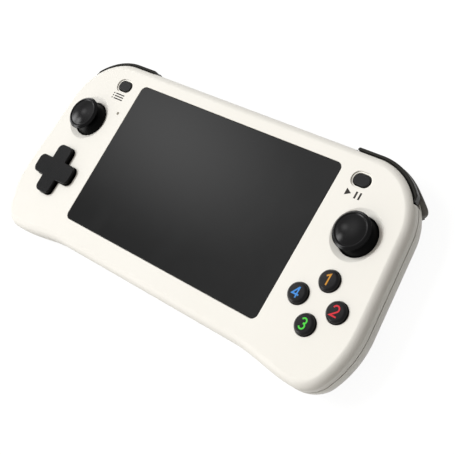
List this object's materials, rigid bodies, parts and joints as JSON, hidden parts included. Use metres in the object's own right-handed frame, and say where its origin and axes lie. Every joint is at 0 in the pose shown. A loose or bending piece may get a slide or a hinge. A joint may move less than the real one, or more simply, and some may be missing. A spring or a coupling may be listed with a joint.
{
  "type": "handheld game console",
  "caption": "Handheld game console: wide screen, tilting thumbsticks, cross-shaped direction pad, round face buttons, menu keys and shoulder buttons in a pale plastic body.",
  "frame": {"origin": "On the flat rear face, straight below the centre of the screen.", "axes": "+X to the right, +Y towards the top edge with the shoulder buttons, +Z out of the screen. The console lies on its back."},
  "size_m": [0.1914, 0.0889, 0.0231],
  "materials": {
    "shell": "satin moulded",
    "lens": "polished",
    "foam": "matt foam",
    "panel": "dark glass",
    "ribbon": "film",
    "board": "solder mask",
    "steel": "plain",
    "battery": "foil pouch",
    "inner_plastic": "moulded",
    "gimbal": "moulded",
    "stick_dome": "smooth",
    "stick_cap": "smooth satin",
    "silicone": "matt",
    "buttons": "satin moulded"
  },
  "bodies": {
    "console": {"front_shell": "shell", "rear_shell": "shell", "screen_lens": "lens", "lens_adhesive": "foam", "panel_gasket": "foam", "display_panel": "panel", "panel_ribbon": "ribbon", "main_board": "board", "processor_shield": "steel", "battery": "battery", "left_speaker": "inner_plastic", "right_speaker": "inner_plastic", "left_stick_base": "steel", "right_stick_base": "steel", "pad_post": "gimbal", "pad_membrane": "silicone", "button_membrane": "silicone", "left_menu_switch": "steel", "right_menu_switch": "steel", "left_shoulder_pin": "steel", "right_shoulder_pin": "steel", "left_shoulder_board": "board", "right_shoulder_board": "board", "key_switches": "steel", "charging_port": "steel", "headphone_jack": "inner_plastic", "card_slot": "steel", "microphone": "steel", "case_screws": "steel", "board_screws": "steel"},
    "left_outer_gimbal": {"left_stick_outer_gimbal": "gimbal"},
    "left_inner_gimbal": {"left_stick_inner_gimbal": "gimbal"},
    "left_stick": {"left_stick_post": "stick_dome", "left_stick_cap": "stick_cap"},
    "right_outer_gimbal": {"right_stick_outer_gimbal": "gimbal"},
    "right_inner_gimbal": {"right_stick_inner_gimbal": "gimbal"},
    "right_stick": {"right_stick_post": "stick_dome", "right_stick_cap": "stick_cap"},
    "pad_ball": {"pad_pivot_ball": "steel"},
    "pad": {"direction_pad": "buttons"},
    "north_button": {"face_button_north": "buttons"},
    "east_button": {"face_button_east": "buttons"},
    "south_button": {"face_button_south": "buttons"},
    "west_button": {"face_button_west": "buttons"},
    "left_menu": {"left_menu_button": "buttons"},
    "left_bumper_key": {"left_bumper": "buttons"},
    "left_trigger_key": {"left_trigger": "buttons"},
    "right_menu": {"right_menu_button": "buttons"},
    "right_bumper_key": {"right_bumper": "buttons"},
    "right_trigger_key": {"right_trigger": "buttons"},
    "power": {"power_key": "buttons"},
    "volume_up": {"volume_up_key": "buttons"},
    "volume_down": {"volume_down_key": "buttons"}
  },
  "joints": [
    {"name": "left_stick_up_down", "type": "hinge", "parent": "console", "child": "left_outer_gimbal", "pos_m": [-0.0746, 0.0107, 0.0111], "axis": [1, 0, 0], "range_deg": [-15, 15], "stiffness_Nm_per_rad": 0.03},
    {"name": "left_stick_side_to_side", "type": "hinge", "parent": "left_outer_gimbal", "child": "left_inner_gimbal", "pos_m": [-0.0746, 0.0107, 0.0111], "axis": [0, 1, 0], "range_deg": [-15, 15], "stiffness_Nm_per_rad": 0.03},
    {"name": "left_stick_click", "type": "slide", "parent": "left_inner_gimbal", "child": "left_stick", "axis": [0, 0, -1], "range_m": [0, 0.0004], "stiffness_N_per_m": 3000},
    {"name": "right_stick_up_down", "type": "hinge", "parent": "console", "child": "right_outer_gimbal", "pos_m": [0.0746, 0.0107, 0.0111], "axis": [1, 0, 0], "range_deg": [-15, 15], "stiffness_Nm_per_rad": 0.03},
    {"name": "right_stick_side_to_side", "type": "hinge", "parent": "right_outer_gimbal", "child": "right_inner_gimbal", "pos_m": [0.0746, 0.0107, 0.0111], "axis": [0, 1, 0], "range_deg": [-15, 15], "stiffness_Nm_per_rad": 0.03},
    {"name": "right_stick_click", "type": "slide", "parent": "right_inner_gimbal", "child": "right_stick", "axis": [0, 0, -1], "range_m": [0, 0.0004], "stiffness_N_per_m": 3000},
    {"name": "pad_up_down", "type": "hinge", "parent": "console", "child": "pad_ball", "pos_m": [-0.0746, -0.017, 0.0126], "axis": [1, 0, 0], "range_deg": [-4, 4], "stiffness_Nm_per_rad": 0.17},
    {"name": "pad_side_to_side", "type": "hinge", "parent": "pad_ball", "child": "pad", "pos_m": [-0.0746, -0.017, 0.0126], "axis": [0, 1, 0], "range_deg": [-4, 4], "stiffness_Nm_per_rad": 0.17},
    {"name": "north_button_press", "type": "slide", "parent": "console", "child": "north_button", "axis": [0, 0, -1], "range_m": [0, 0.0012], "stiffness_N_per_m": 800},
    {"name": "east_button_press", "type": "slide", "parent": "console", "child": "east_button", "axis": [0, 0, -1], "range_m": [0, 0.0012], "stiffness_N_per_m": 800},
    {"name": "south_button_press", "type": "slide", "parent": "console", "child": "south_button", "axis": [0, 0, -1], "range_m": [0, 0.0012], "stiffness_N_per_m": 800},
    {"name": "west_button_press", "type": "slide", "parent": "console", "child": "west_button", "axis": [0, 0, -1], "range_m": [0, 0.0012], "stiffness_N_per_m": 800},
    {"name": "left_menu_press", "type": "slide", "parent": "console", "child": "left_menu", "axis": [0, 0, -1], "range_m": [0, 0.0005], "stiffness_N_per_m": 2500},
    {"name": "left_bumper_press", "type": "hinge", "parent": "console", "child": "left_bumper_key", "pos_m": [-0.0593, 0.0328, 0.01], "axis": [0, 0, 1], "range_deg": [0, 1.6], "stiffness_Nm_per_rad": 1.5},
    {"name": "left_trigger_press", "type": "hinge", "parent": "console", "child": "left_trigger_key", "pos_m": [-0.0593, 0.0328, 0.01], "axis": [0, 0, 1], "range_deg": [0, 1.6], "stiffness_Nm_per_rad": 1.5},
    {"name": "right_menu_press", "type": "slide", "parent": "console", "child": "right_menu", "axis": [0, 0, -1], "range_m": [0, 0.0005], "stiffness_N_per_m": 2500},
    {"name": "right_bumper_press", "type": "hinge", "parent": "console", "child": "right_bumper_key", "pos_m": [0.0593, 0.0328, 0.01], "axis": [0, 0, 1], "range_deg": [-1.6, 0], "stiffness_Nm_per_rad": 1.5},
    {"name": "right_trigger_press", "type": "hinge", "parent": "console", "child": "right_trigger_key", "pos_m": [0.0593, 0.0328, 0.01], "axis": [0, 0, 1], "range_deg": [-1.6, 0], "stiffness_Nm_per_rad": 1.5},
    {"name": "power_press", "type": "slide", "parent": "console", "child": "power", "axis": [0, -1, 0], "range_m": [0, 0.0004], "stiffness_N_per_m": 3000},
    {"name": "volume_up_press", "type": "slide", "parent": "console", "child": "volume_up", "axis": [0, -1, 0], "range_m": [0, 0.0004], "stiffness_N_per_m": 3000},
    {"name": "volume_down_press", "type": "slide", "parent": "console", "child": "volume_down", "axis": [0, -1, 0], "range_m": [0, 0.0004], "stiffness_N_per_m": 3000}
  ]
}
